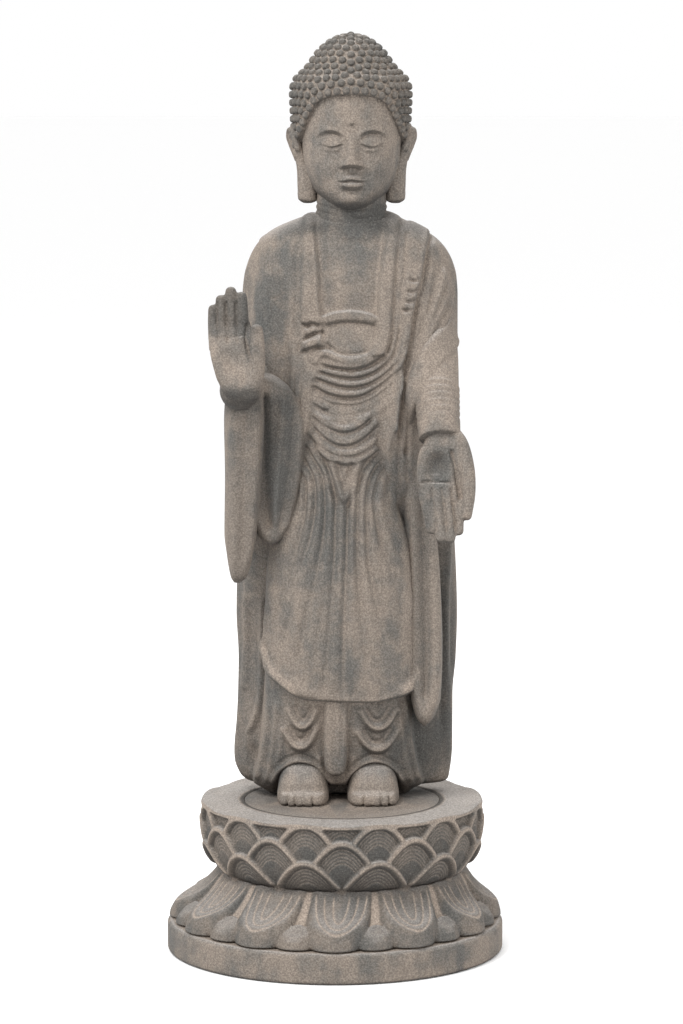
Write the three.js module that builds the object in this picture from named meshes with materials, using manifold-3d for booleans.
// A standing Buddha carved in lava stone: right hand raised, left hand lowered, palms to the front.
// The figure ends below in a round foot plate, which is let into the top of a separate double-lotus pedestal.
// Millimetres, +Z up, the face looks along -Y, the origin is the centre of the pedestal's underside.
import * as THREE from "three";
import { mergeVertices } from "three/addons/utils/BufferGeometryUtils.js";
import Module from "manifold-3d";

const wasm = await Module();
wasm.setup();

// Driving dimensions
const TOTAL_HEIGHT = 1200;
const BASE_RADIUS = 221;
const DISC_HEIGHT = 40;
const PLATE_LEVEL = 197; // the lotus's flat top, which the figure stands on
const FIGURE_X = 9; // the figure and the bowl stand a little off the base's centre
const FOOT_PLATE_RADIUS = 128;
const FOOT_PLATE_DEPTH = 12;
const SEAM = 0.4; // the mortar seam round the foot plate
const PETALS = 12; // in each row
const HEAD_X = 21.5; // the figure leans a little to its left
const HEAD_Y = 14;
const CHIN = 976;
const CROWN = 1166; // top of the hair below the topknot
const HAIR_LEVEL = 1108; // widest level of the hair
const NAPE = 1004; // lowest level of the hair
const KNOT_FOOT = 1146;
const KNOT_SWEEP = 1.45; // how far the topknot's dome curves over, in radians
const FACE_DEPTH = 71; // from the ears' line to the forehead
const CURL_HEIGHT = 7;
const PLEAT_DEPTH = 5;

const TURN = 2 * Math.PI;
const STONE = new THREE.MeshStandardMaterial({ color: 0x8a8179, roughness: 0.93, metalness: 0 });
const PEDESTAL_STONE = new THREE.MeshStandardMaterial({ color: 0x86817b, roughness: 0.94, metalness: 0 });

// Smooth curve through rows of [position, value, value, ...]; it holds its end values.
function profile(rows) {
  const slope = (i, k) => {
    if (i === 0 || i === rows.length - 1) return 0;
    const before = (rows[i][k] - rows[i - 1][k]) / (rows[i][0] - rows[i - 1][0]);
    const after = (rows[i + 1][k] - rows[i][k]) / (rows[i + 1][0] - rows[i][0]);
    return before * after <= 0 ? 0 : (2 * before * after) / (before + after);
  };
  return (position) => {
    const p = THREE.MathUtils.clamp(position, rows[0][0], rows.at(-1)[0]);
    let i = 0;
    while (i < rows.length - 2 && p > rows[i + 1][0]) i++;
    const span = rows[i + 1][0] - rows[i][0];
    const t = (p - rows[i][0]) / span;
    const blend = t * t * (3 - 2 * t);
    return rows[i].slice(1).map((value, column) => {
      const k = column + 1;
      const bend = t * (1 - t) * span * (slope(i, k) * (1 - t) - slope(i + 1, k) * t);
      return value + (rows[i + 1][k] - value) * blend + bend;
    });
  };
}

// sign(v) |v|^power, which turns a circle's sine and cosine into a squarer section.
const squared = (v, power) => Math.sign(v) * Math.abs(v) ** power;

// Closed geometry to a manifold solid.
function solidOf(geometry) {
  const bare = new THREE.BufferGeometry().setAttribute("position", geometry.getAttribute("position"));
  bare.setIndex(geometry.index);
  const merged = mergeVertices(bare, 1e-3);
  const vertProperties = merged.getAttribute("position").array;
  const triVerts = new Uint32Array(merged.index.array);
  return new wasm.Manifold(new wasm.Mesh({ numProp: 3, vertProperties, triVerts }));
}

// Moves every vertex of a geometry by place(x, y, z), which returns [x, y, z].
function moulded(geometry, place) {
  const position = geometry.getAttribute("position");
  for (let i = 0; i < position.count; i++) {
    position.setXYZ(i, ...place(position.getX(i), position.getY(i), position.getZ(i)));
  }
  return solidOf(geometry);
}

// A closed round blank that is carved by place(angle, level, reach): angle 0 is the front and grows to +X,
// level runs from 0 at the bottom to 1 at the top, reach is 0 on the caps' centres and 1 elsewhere.
function carved(columns, rows, place) {
  const blank = new THREE.CylinderGeometry(1, 1, 1, columns, rows);
  return moulded(blank, (x, y, z) => place(Math.atan2(x, z), y + 0.5, Math.round(Math.hypot(x, z))));
}

// A loft with a ring for each row [height, left, right, front, back]; the section is a superellipse.
// foot bends its lower edge; pleats sinks every second column of its front (or its back, with pleated -1).
function loft(rows, shape = {}) {
  const { columns = 14, power = 0.85, widest = 0.5, foot = null, pleats = null, pleated = 1 } = shape;
  const bottom = rows[0][0];
  const top = rows.at(-1)[0];
  return carved(columns, rows.length - 1, (angle, level, reach) => {
    const [height, left, right, front, back] = rows[Math.round(level * (rows.length - 1))];
    const deep = front + (back - front) * widest;
    const x = (left + right) / 2 + (reach * squared(Math.sin(angle), power) * (right - left)) / 2;
    const c = reach * squared(Math.cos(angle), power);
    const odd = Math.abs(Math.round((angle / TURN) * columns)) % 2;
    const sunk = pleats && odd && c * pleated > 0.3 ? pleats(height) * pleated : 0;
    const y = deep + sunk - c * (c > 0 ? deep - front : back - deep);
    const climb = (height - bottom) / (top - bottom);
    return [x, y, foot ? foot(x) + (top - foot(x)) * climb : height];
  });
}

// A limb along points [x, y, z, radius], with round ends; depth squeezes it front to back.
function limb(points, { columns = 8, steps = 6, ends = 0.35, depth = 1 } = {}) {
  const line = new THREE.CatmullRomCurve3(points.map(([x, y, z]) => new THREE.Vector3(x, y, z)));
  const girth = profile(points.map((p, i) => [i / (points.length - 1), p[3]]));
  const end = Math.min(0.5, ends);
  return carved(columns, steps, (angle, level, reach) => {
    const centre = line.getPoint(level);
    const along = line.getTangent(level);
    const side = new THREE.Vector3().crossVectors(new THREE.Vector3(0.02, -1, 0.03), along).normalize();
    const out = new THREE.Vector3().crossVectors(along, side).normalize();
    const inset = Math.min(level, 1 - level);
    const round = inset >= end ? 1 : Math.sqrt(1 - (1 - inset / end) ** 2) * 0.6 + 0.4;
    const radius = reach * girth(level)[0] * round;
    return centre
      .addScaledVector(side, -Math.sin(angle) * radius)
      .addScaledVector(out, Math.cos(angle) * radius * depth)
      .toArray();
  });
}

// Depth of a loft's front surface at x and a height, for the folds that lie on it.
function frontOf(rows, { power = 0.85, widest = 0.5 } = {}) {
  const at = profile(rows);
  return (x, height) => {
    const [left, right, front, back] = at(height);
    const deep = front + (back - front) * widest;
    const s = Math.min(0.98, Math.abs((x - (left + right) / 2) / ((right - left) / 2)));
    const c = Math.sqrt(1 - s ** (2 / power)) ** power;
    return deep - (deep - front) * c;
  };
}

// A carved fold: a low four-sided ridge that follows points [x, height] on a surface, thinning to both ends.
// facing is 1 on the front and -1 on the back.
function fold(points, width, height, surface, { steps = 3, columns = 4, facing = 1 } = {}) {
  const path = new THREE.SplineCurve(points.map(([x, z]) => new THREE.Vector2(x, z)));
  return carved(columns, steps, (angle, level, reach) => {
    const p = path.getPoint(level);
    const along = path.getTangent(level);
    const swell = Math.sqrt(Math.sin(Math.PI * THREE.MathUtils.clamp(level, 0.04, 0.96)));
    const thin = reach * Math.max(0.25, swell);
    const across = (-Math.sin(angle) * thin * width * facing) / 2;
    const x = p.x - along.y * across;
    const z = p.y + along.x * across;
    return [x, surface(p.x, p.y) + facing * height * (0.3 - Math.cos(angle) * thin), z];
  });
}

// A hanging fold between two held points, lowest in the middle.
function swag([x0, z0], low, [x1, z1], points = 5) {
  return Array.from({ length: points }, (_, i) => {
    const t = i / (points - 1);
    const fall = 1 - Math.abs(2 * t - 1) ** 2.2;
    const held = z0 + (z1 - z0) * t;
    return [x0 + (x1 - x0) * t, held + (low - held) * fall];
  });
}

// Joins solids into one block; a small space that would be sealed between them is left as stone.
function joined(solids) {
  const shells = solids.reduce((all, next) => all.add(next)).decompose();
  return shells.reduce((largest, shell) => (shell.volume() > largest.volume() ? shell : largest));
}

// Robe: the main body with both shoulders, down to the mantle's hem behind the legs
const ROBE = [
  [207, -104, 144, 28, 84],
  [219, -122, 151, 14, 93],
  [250, -132, 154, 6, 98],
  [330, -127, 155, 2, 98],
  [453, -129, 160, -4, 98],
  [600, -124, 159, -34, 95],
  [700, -124, 157, -58, 92],
  [780, -121, 158, -61, 91],
  [850, -119, 158, -55, 88],
  [890, -115, 155, -50, 86],
  [912, -108, 149, -46, 84],
  [928, -98, 138, -41, 80],
  [943, -80, 116, -34, 74],
  [955, -54, 94, -24, 64],
  [966, -34, 76, -14, 54],
];
const MANTLE_TOP = 900; // the back hangs in pleats below this level
const ROBE_SHAPE = {
  columns: 20,
  widest: 0.58,
  power: 0.85,
  pleated: -1,
  pleats: (height) => (height < MANTLE_TOP ? PLEAT_DEPTH : 0),
};

// Outer robe's front: a bell from the belly to its curved hem
const HEM = profile([
  [-92, 392],
  [-85, 369],
  [-68, 354],
  [-48, 341],
  [-20, 336],
  [50, 333],
  [77, 338],
  [99, 347],
  [110, 362],
]);
const SKIRT = [
  [345, -92, 109, -50, 40],
  [414, -91, 106, -58, 40],
  [469, -89, 106, -62, 40],
  [534, -82, 99, -65, 40],
  [593, -66, 80, -67, 30],
  [662, -44, 61, -66, 20],
  [720, -34, 52, -60, 10],
];
const SKIRT_SHAPE = {
  columns: 22,
  power: 0.85,
  foot: (x) => HEM(x)[0],
  pleats: (height) => PLEAT_DEPTH * (1 - THREE.MathUtils.smoothstep(height, 590, 680) - 0.6 * (height < 350)),
};

const UNDERSKIRT = [
  [197, -96, 104, 8, 80],
  [211, -101, 108, 2, 80],
  [214, -108, 118, -10, 80],
  [225, -109, 117, -18, 80],
  [250, -103, 110, -25, 80],
  [300, -97, 104, -34, 80],
  [372, -91, 101, -42, 60],
];

const robeFront = frontOf(ROBE, ROBE_SHAPE);
const skirtFront = frontOf(SKIRT, SKIRT_SHAPE);
const underskirtFront = frontOf(UNDERSKIRT, {});
// The belly is where the skirt's bell rises through the robe.
const bellyFront = (x, z) => Math.min(robeFront(x, z), Math.abs(x - 8) < 52 ? skirtFront(x, z) : 0);

function chestAndShoulderFolds() {
  const collarLeft = fold([[-28, 955], [-30, 894], [-32, 858], [-31, 822]], 20, 8, robeFront);
  const collarRight = fold([[72, 955], [68, 895], [64, 840], [61, 806], [50, 782]], 20, 8, robeFront);
  const secondBand = fold([[86, 940], [85, 895], [81, 850], [79, 806], [72, 772]], 12, 8, robeFront);
  const shawlEdge = [[108, 930], [107, 895], [101, 850], [96, 800], [86, 735], [82, 670]];
  const shawl = fold(shawlEdge, 24, 10, robeFront, { steps: 4 });
  const armFolds = [
    [[128, 905], [118, 850], [109, 805], [99, 760], [90, 715]],
    [[144, 903], [131, 864], [120, 827], [107, 788], [96, 745]],
    [[153, 872], [141, 839], [127, 804], [112, 773], [101, 744]],
    [[159, 808], [148, 801], [132, 787], [119, 769], [106, 742], [98, 708]],
  ].map((points) => fold(points, 11, 7, robeFront));
  const armpit = [[-56, 880], [-60, 820], [-58, 760], [-52, 690]];
  return [collarLeft, collarRight, secondBand, shawl, ...armFolds, fold(armpit, 12, 6, robeFront)];
}

function undergarmentFolds() {
  const rim = fold([[-17, 835], [21, 842], [54, 835]], 10, 6, robeFront);
  const bag = fold(swag([-14, 822], 792, [52, 822]), 7, 5, robeFront);
  const flap = fold([[-44, 799], [-30, 806], [-12, 806]], 14, 8, robeFront, { steps: 3 });
  const overlap = [[-8, 800], [-26, 789], [-35, 768], [-38, 730], [-41, 680], [-45, 640]];
  const border = fold(overlap, 12, 7, robeFront);
  return [rim, bag, flap, border];
}

// Swags that hang in front of the belly, from the lowest: [left, right, height at the ends, lowest level]
const BELLY_SWAGS = [
  [-32, 62, 670, 645],
  [-30, 62, 684, 662],
  [-29, 60, 702, 681],
  [-28, 58, 720, 698],
  [-38, 96, 764, 714],
  [-32, 88, 772, 733],
  [-27, 78, 780, 751],
  [-24, 72, 792, 769],
];
const SWAG_DEPTH = 7;

// The swags are every second ring of one panel; the rings between them are the grooves.
function bellyPanel() {
  const rings = 2 * BELLY_SWAGS.length;
  const at = profile(BELLY_SWAGS.map((row, i) => [2 * i + 1, ...row]));
  return carved(10, rings, (angle, level, reach) => {
    const ring = Math.round(level * rings);
    const [left, right, ends, low] = at(ring);
    const across = reach * Math.sin(angle);
    const x = (left + right) / 2 + (across * (right - left)) / 2;
    const beyond = ring - THREE.MathUtils.clamp(ring, 1, rings - 1);
    const z = low + (ends - low) * Math.abs(across) ** 2.2 + beyond * 6;
    const stands = ring % 2 ? SWAG_DEPTH : 1;
    const front = reach && Math.cos(angle) > -0.01;
    return [x, bellyFront(x, z) + (front ? -stands * (1 - 0.7 * Math.abs(across) ** 3) : 16), z];
  });
}

function skirtFolds() {
  const notch = [
    [[-42, 652], [-30, 620], [-34, 560]],
    [[-38, 672], [-14, 630], [-6, 590]],
    [[56, 668], [34, 630], [26, 596]],
    [[60, 648], [52, 600], [60, 540]],
  ].map((points) => fold(points, 11, 6, skirtFront, { steps: 2 }));
  const hemRoll = fold([[-89, 402], [-84, 376], [-66, 361], [-42, 348], [-12, 344]], 12, 8, skirtFront);
  return [bellyPanel(), ...notch, hemRoll];
}

// Crescent folds over the shins, the sash's end between them, the hem's arches over the feet, flared corners
function underskirtFolds() {
  const crescents = [
    [[-63, 322], 295, [-21, 324]],
    [[-68, 298], 260, [-20, 300]],
    [[31, 318], 293, [82, 322]],
    [[26, 294], 262, [84, 298]],
  ].map(([a, low, b]) => fold(swag(a, low, b), 10, 9, underskirtFront));
  const arches = [
    [[-80, 224], 253, [-13, 230]],
    [[17, 230], 253, [82, 224]],
  ].map(([a, high, b]) => fold(swag(a, high, b), 10, 7, underskirtFront));
  const corners = [
    [[-84, 330], [-88, 280], [-98, 222]],
    [[92, 330], [96, 280], [108, 222]],
  ].map((points) => fold(points, 13, 9, underskirtFront));
  const sash = fold([[1, 345], [1, 300], [1, 268], [1, 234]], 34, 15, underskirtFront, { columns: 6 });
  return [...crescents, ...arches, ...corners, sash];
}

// The mantle's hanging edges at both sides of the skirt
function mantleFolds() {
  const flat = (x, z) => robeFront(x, z) + 2;
  const rightStrip = loft(
    [
      [298, 114, 124, -26, 30],
      [304, 108, 131, -32, 40],
      [330, 103, 138, -34, 40],
      [400, 108, 139, -32, 40],
      [560, 92, 128, -34, 40],
      [680, 76, 112, -52, 30],
    ],
    { columns: 10 },
  );
  const edges = [
    [[146, 640], [146, 520], [147, 380], [146, 240]],
    [[-116, 460], [-114, 360], [-117, 250]],
  ].map((points) => fold(points, 14, 7, flat, { steps: 4 }));
  return [rightStrip, ...edges];
}

// The mantle's end, thrown back over the left shoulder
function thrownEnd() {
  const at = profile(ROBE);
  const backOf = (x, z) => {
    const [left, right, front, back] = at(z);
    const s = Math.min(0.95, Math.abs((x - (left + right) / 2) / ((right - left) / 2)));
    const deep = front + (back - front) * ROBE_SHAPE.widest;
    return deep + (back - deep) * Math.sqrt(1 - s ** (2 / ROBE_SHAPE.power)) ** ROBE_SHAPE.power;
  };
  return fold([[92, 930], [84, 860], [76, 740], [70, 600]], 60, 12, backOf, { facing: -1 });
}

function rightArm() {
  const elbowToWrist = [[-108, 30, 748, 34], [-114, -30, 744, 32], [-120, -78, 744, 27], [-124, -104, 748, 23]];
  const forearm = limb(elbowToWrist);
  const hanging = loft(
    [
      [493, -130, -122, -64, -44],
      [500, -135, -116, -72, -30],
      [525, -139, -111, -79, -10],
      [556, -142, -104, -82, 0],
      [634, -141, -96, -88, 10],
      [710, -141, -91, -96, 20],
      [742, -138, -92, -98, 20],
      [760, -126, -100, -84, 10],
    ],
    { columns: 8, power: 0.75 },
  );
  const inner = loft(
    [
      [543, -87, -77, -50, 0],
      [550, -94, -68, -57, 0],
      [566, -98, -58, -61, 0],
      [606, -102, -45, -65, 0],
      [652, -101, -38, -66, 0],
      [705, -98, -35, -66, 0],
      [770, -90, -44, -52, 0],
    ],
    { columns: 8, power: 0.8 },
  );
  const innerFront = (x, z) => -60 - (z > 560 ? 4 : 0);
  const ridge = fold([[-58, 735], [-62, 670], [-68, 600], [-74, 556]], 12, 6, innerFront, { steps: 4 });
  const palm = loft(
    [
      [728, -128, -106, -120, -94],
      [740, -140, -99, -128, -90],
      [766, -151, -95, -131, -93],
      [792, -156, -97, -129, -97],
      [816, -160, -100, -126, -101],
      [828, -160, -103, -124, -103],
    ],
    { columns: 8 },
  );
  const digits = [
    [[-111, -114, 812, 9], [-110, -119, 842, 8.5], [-111, -122, 867, 6.5]],
    [[-126, -114, 812, 9], [-126, -119, 850, 8.5], [-126, -123, 878, 6.5]],
    [[-141, -113, 812, 9], [-142, -118, 844, 8.5], [-142, -121, 869, 6.5]],
    [[-154, -112, 806, 8], [-155, -117, 836, 7.5], [-155, -119, 857, 6]],
    [[-106, -124, 748, 13], [-98, -131, 778, 11], [-96, -134, 806, 10], [-99, -132, 834, 7]],
  ].map((points) => limb(points, { columns: 5, steps: 3, ends: 0.25 }));
  return [forearm, hanging, inner, ridge, palm, ...digits];
}

function leftArm() {
  const elbowToCuff = [[126, 30, 806, 34], [128, -22, 772, 33], [131, -62, 724, 31], [133, -80, 688, 30]];
  const forearm = limb(elbowToCuff, { steps: 4, ends: 0.1 });
  const wristLine = [[134, -76, 704, 20], [134, -90, 676, 24], [133, -92, 650, 25]];
  const wrist = limb(wristLine, { columns: 6, steps: 3 });
  const palm = loft(
    [
      [600, 112, 164, -98, -80],
      [620, 108, 166, -98, -74],
      [650, 106, 164, -98, -66],
      [672, 112, 160, -104, -66],
      [684, 120, 150, -100, -72],
    ],
    { columns: 8 },
  );
  const digits = [
    [[117, -90, 626, 7.5], [119, -99, 592, 7.5], [126, -106, 556, 5.5]],
    [[132, -92, 628, 8], [134, -103, 590, 8], [139, -111, 550, 6]],
    [[146, -92, 628, 8], [148, -103, 590, 8], [151, -111, 550, 6]],
    [[158, -90, 622, 7], [162, -98, 592, 7], [164, -103, 563, 5.5]],
    [[148, -92, 680, 12], [164, -98, 668, 11], [171, -104, 635, 9], [168, -108, 592, 7]],
  ].map((points) => limb(points, { columns: 5, steps: 3, ends: 0.25 }));
  return [forearm, wrist, palm, ...digits];
}

// Each foot is a steep instep; its front columns are pleated into toes.
function feet() {
  const toes = (height) => (height < 212 ? 5 : 0);
  return [-42, 50].map((middle) =>
    loft(
      [
        [PLATE_LEVEL - 2, middle - 33, middle + 33, -54, 40],
        [206, middle - 34, middle + 34, -57, 40],
        [211, middle - 33, middle + 33, -51, 40],
        [220, middle - 31, middle + 31, -44, 40],
        [238, middle - 26, middle + 26, -26, 40],
        [253, middle - 10, middle + 10, 0, 30],
      ],
      { columns: 14, power: 0.6, widest: 0.55, pleats: toes },
    ),
  );
}

// The head is a superellipsoid, narrower at the jaw; the hair is a knobbly cap over it with a topknot.
const EAR_FOOT = 981;
const EAR_TOP = 1085;
// the ear's outer edge from the head's middle line, its thickness and its length front to back
const earAt = profile([
  [EAR_FOOT, 66, 4, 18],
  [990, 71, 8, 22],
  [1012, 71, 8, 20],
  [1040, 74, 9, 20],
  [1058, 80, 10, 26],
  [1070, 84, 9, 28],
  [1080, 78, 8, 22],
  [EAR_TOP, 70, 4, 12],
]);

function headAndNeck() {
  const neck = loft(
    [
      [940, HEAD_X - 56, HEAD_X + 56, -34, 68],
      [956, HEAD_X - 48, HEAD_X + 48, -30, 62],
      [972, HEAD_X - 45, HEAD_X + 45, -28, 60],
      [1010, HEAD_X - 44, HEAD_X + 44, -26, 60],
    ],
    { columns: 12, power: 1 },
  );
  // half width and depth of the face at a level
  const cut = profile([
    [CHIN - 4, 20, 50],
    [CHIN + 5, 34, 62],
    [CHIN + 25, 52, 66],
    [CHIN + 55, 62, 68],
    [CHIN + 100, 66, 70],
    [1125, 66, FACE_DEPTH],
    [1150, 54, 60],
  ]);
  const skull = carved(14, 6, (angle, level, reach) => {
    const z = CHIN - 4 + (1154 - CHIN) * level ** 1.3;
    const [wide, deep] = cut(z).map((size) => size * reach);
    const c = Math.cos(angle);
    return [HEAD_X + wide * Math.sin(angle), HEAD_Y - c * (c > 0 ? deep : 0.95 * wide), z];
  });
  const face = (x, z) => {
    const [wide, deep] = cut(z);
    const s = Math.min(1, Math.abs(x - HEAD_X) / wide);
    return HEAD_Y - deep * Math.sqrt(1 - s * s);
  };
  const brow = CHIN + 93;
  const noseBase = CHIN + 47;
  const mouth = CHIN + 31;
  const nose = limb(
    [
      [HEAD_X, face(HEAD_X, brow) + 4, brow - 4, 7],
      [HEAD_X, face(HEAD_X, brow - 20) + 1, brow - 20, 8],
      [HEAD_X, face(HEAD_X, noseBase) - 5, noseBase + 8, 12],
      [HEAD_X, face(HEAD_X, noseBase) + 2, noseBase, 11],
    ],
    { columns: 6 },
  );
  // [points from the face's middle line, width, height] of each raised feature; brows and lids come in pairs
  const pair = (points) => [-1, 1].map((side) => points.map(([x, z]) => [side * x, z]));
  const features = [
    ...pair([[7, brow - 8], [24, brow + 3], [46, brow - 8]]).map((points) => [points, 5, 4]),
    ...pair([[13, brow - 16], [26, brow - 17], [41, brow - 16]]).map((points) => [points, 15, 7]),
    [[[-19, mouth + 2], [0, mouth + 3], [19, mouth + 2]], 7, 5],
    [[[-15, mouth - 3], [0, mouth - 6], [15, mouth - 3]], 8, 6],
    [[[-3, brow + 10], [3, brow + 10]], 7, 4],
  ].map(([points, width, height]) => fold(points.map(([x, z]) => [HEAD_X + x, z]), width, height, face));
  const ears = [-1, 1].map((side) =>
    carved(6, 5, (angle, level, reach) => {
      const z = EAR_FOOT + level * (EAR_TOP - EAR_FOOT);
      const [outer, thick, long] = earAt(z);
      const along = -reach * Math.cos(angle);
      const across = (reach * Math.sin(angle) * thick) / 2;
      const x = HEAD_X + side * (outer - long * 0.3 * (1 - along) - 4) + across;
      return [x, HEAD_Y - 3 + along * long * 0.62, z];
    }),
  );
  return [neck, skull, nose, ...features, ...ears];
}

// Snail-shell curls: every third point of the grid stands out, so that each is ringed by six low ones.
const curl = (column, row) => ((column + row) % 3 === 0 ? CURL_HEIGHT : -1);

// Column of a blank at an angle, counted round from the front
const columnAt = (angle, columns) => Math.round(((angle < 0 ? angle + TURN : angle) / TURN) * columns);

function hair() {
  const columns = 33;
  const rows = 8;
  // the hairline is level over the brow, falls to the ears and is lowest at the nape
  const hairline = profile([
    [0, 1121],
    [0.35, 1119],
    [0.62, 1110],
    [0.9, 1086],
    [1.2, 1062],
    [1.6, 1040],
    [2.2, 1012],
    [Math.PI, NAPE],
  ]);
  const girth = profile([
    [NAPE, 0.78],
    [1030, 0.9],
    [1070, 0.99],
    [HAIR_LEVEL, 1],
    [1130, 0.96],
    [1150, 0.84],
    [1162, 0.64],
    [CROWN, 0.5],
  ]);
  const cap = carved(columns, rows, (angle, level, reach) => {
    const low = hairline(Math.abs(angle))[0];
    const z = low + (CROWN - low) * Math.sin((level * Math.PI) / 2);
    const stands = level > 0.99 ? 0 : curl(columnAt(angle, columns), Math.round(level * rows));
    const wide = reach * (75.5 * girth(z)[0] + stands);
    const deep = reach * ((Math.cos(angle) > 0 ? 75 : 74) * girth(z)[0] + stands);
    return [HEAD_X - 1 + wide * Math.sin(angle), HEAD_Y - deep * Math.cos(angle), z];
  });
  const knotColumns = 21;
  const knotRows = 5;
  const knot = carved(knotColumns, knotRows, (angle, level, reach) => {
    const steep = level * KNOT_SWEEP;
    const stands = level > 0.99 ? 0 : curl(columnAt(angle, knotColumns), Math.round(level * knotRows));
    const radius = reach * (50 + stands) * Math.cos(steep);
    const z = KNOT_FOOT + ((TOTAL_HEIGHT - KNOT_FOOT) * Math.sin(steep)) / Math.sin(KNOT_SWEEP);
    return [HEAD_X - 1.5 + radius * Math.sin(angle), HEAD_Y + 4 - radius * 0.95 * Math.cos(angle), z];
  });
  return [cap, knot];
}

function figure() {
  const disc = new THREE.CylinderGeometry(FOOT_PLATE_RADIUS, FOOT_PLATE_RADIUS, FOOT_PLATE_DEPTH, 48);
  disc.rotateX(Math.PI / 2).translate(FIGURE_X, 0, PLATE_LEVEL - FOOT_PLATE_DEPTH / 2);
  return joined([
    solidOf(disc),
    loft(ROBE, ROBE_SHAPE),
    loft(SKIRT, SKIRT_SHAPE),
    loft(UNDERSKIRT, { columns: 14 }),
    ...chestAndShoulderFolds(),
    ...undergarmentFolds(),
    ...skirtFolds(),
    ...underskirtFolds(),
    ...mantleFolds(),
    thrownEnd(),
    ...rightArm(),
    ...leftArm(),
    ...feet(),
    ...headAndNeck(),
    ...hair(),
  ]);
}

// Lines round the pedestal, from the underside to the floor of the foot plate's pocket. Each gives a
// [radius, level] at the petals' tips and at the clefts between them, and bends from one to the other.
const PETAL_PITCH = TURN / PETALS;
const COLUMNS_PER_PETAL = 4;
const WHOLE = 0; // petals that stand at the front's middle
const HALF = 0.5; // petals that stand half a step beside it
const RIM = 4; // how far a petal's rolled rim stands out
const line = (radius, level) => ({ tip: [radius, level], cleft: [radius, level], phase: WHOLE, round: 1 });
const scallop = (tip, cleft, phase, round = 2.2) => ({ tip, cleft, phase, round });

// One row of scales on the bowl: the sunk inside, the rim and the step back behind it.
function scales(tip, radius, cleft, phase) {
  return [
    scallop([radius - RIM, tip - 13], [radius - RIM, cleft - 6], phase),
    scallop([radius, tip - 4], [radius - 1, cleft - 1], phase),
    scallop([radius - RIM - 4, tip], [radius - RIM - 2, cleft + 1], phase),
  ];
}

const PEDESTAL_LINES = [
  line(BASE_RADIUS - 2, 0),
  line(BASE_RADIUS, DISC_HEIGHT - 4),
  line(BASE_RADIUS - 3, DISC_HEIGHT),
  scallop([211, DISC_HEIGHT], [196, DISC_HEIGHT], HALF, 3),
  scallop([213, 51], [190, 45], HALF, 3),
  scallop([200, 58], [188, 47], HALF, 3),
  scallop([213, 47], [186, 60], WHOLE, 3),
  scallop([219, 55], [182, 67], WHOLE, 3),
  scallop([212, 64], [180, 70], WHOLE, 3),
  scallop([198, 67], [178, 73], WHOLE, 3),
  line(166, 100),
  ...scales(152, 186, 115, HALF),
  ...scales(179, 188, 153, WHOLE),
  ...scales(200, 188, 180, HALF),
];

// The stacked lines, then the flat top and the pocket that takes the foot plate.
function pedestal() {
  const pocket = FOOT_PLATE_RADIUS + SEAM;
  const lines = [
    ...PEDESTAL_LINES,
    line(178, PLATE_LEVEL),
    line(pocket, PLATE_LEVEL),
    line(pocket, PLATE_LEVEL - FOOT_PLATE_DEPTH - SEAM),
  ];
  const steps = lines.length - 1;
  return carved(COLUMNS_PER_PETAL * PETALS, steps, (angle, level, reach) => {
    const { tip, cleft, phase, round } = lines[Math.round(level * steps)];
    const off = Math.abs(angle / PETAL_PITCH - phase - Math.round(angle / PETAL_PITCH - phase)) * 2;
    const bend = off ** round;
    const radius = reach * (tip[0] + (cleft[0] - tip[0]) * bend);
    const z = tip[1] + (cleft[1] - tip[1]) * bend;
    const shift = FIGURE_X * THREE.MathUtils.smoothstep(z, DISC_HEIGHT, PLATE_LEVEL / 2);
    return [shift + radius * Math.sin(angle), -radius * Math.cos(angle), z];
  });
}

// A manifold solid back to a named mesh.
function meshOf(name, solid, material) {
  const data = solid.getMesh();
  const position = new Float32Array(data.numVert * 3);
  for (let i = 0; i < data.numVert; i++) {
    position.set(data.vertProperties.subarray(i * data.numProp, i * data.numProp + 3), i * 3);
  }
  const geometry = new THREE.BufferGeometry();
  geometry.setAttribute("position", new THREE.BufferAttribute(position, 3));
  geometry.setIndex(new THREE.BufferAttribute(data.triVerts, 1));
  geometry.computeVertexNormals();
  const mesh = new THREE.Mesh(geometry, material);
  mesh.name = name;
  return mesh;
}

const statue = new THREE.Group();
statue.add(meshOf("figure", figure(), STONE));
statue.add(meshOf("lotus_pedestal", pedestal(), PEDESTAL_STONE));
export default statue;
